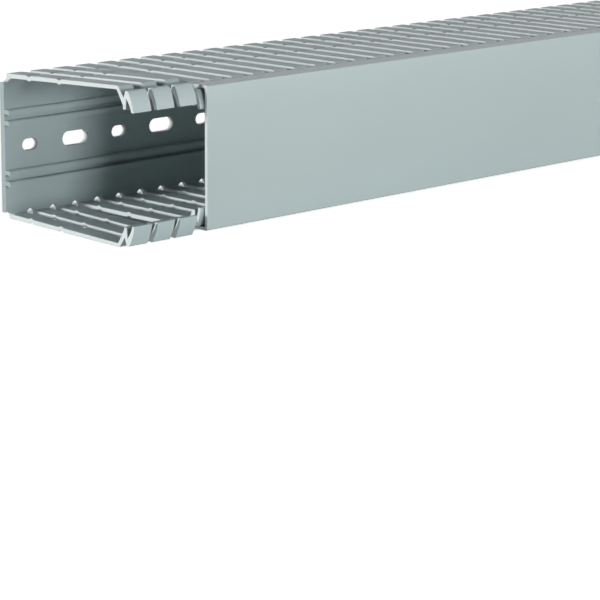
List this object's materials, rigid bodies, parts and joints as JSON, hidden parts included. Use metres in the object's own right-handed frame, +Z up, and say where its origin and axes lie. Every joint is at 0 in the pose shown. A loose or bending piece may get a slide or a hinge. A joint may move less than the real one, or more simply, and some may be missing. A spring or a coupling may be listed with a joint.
{
  "type": "slotted wire duct",
  "caption": "Slotted wiring duct with folded finger walls, a perforated base plate with hooked ribs, and a clipped cover set back at one end.",
  "frame": {"origin": "middle of the mounting face, on the outer face of the base plate, at half the duct's length and half its height", "axes": "+X along the duct, away from the end where the cover is set back; +Y out of the mounting face, into the wall or panel that carries the duct; +Z up, with the duct lying on its lower finger wall"},
  "size_m": [1, 0.0801, 0.0658],
  "materials": {
    "base_pvc": "smooth extruded rigid PVC, satin",
    "cover_pvc": "smooth extruded rigid PVC, satin"
  },
  "bodies": {
    "base": {"duct_base": "base_pvc"},
    "cover": {"duct_cover": "cover_pvc"}
  },
  "joints": [
    {"name": "cover_slide", "type": "slide", "parent": "base", "child": "cover", "axis": [1, 0, 0], "range_m": [0, 0.9]}
  ]
}
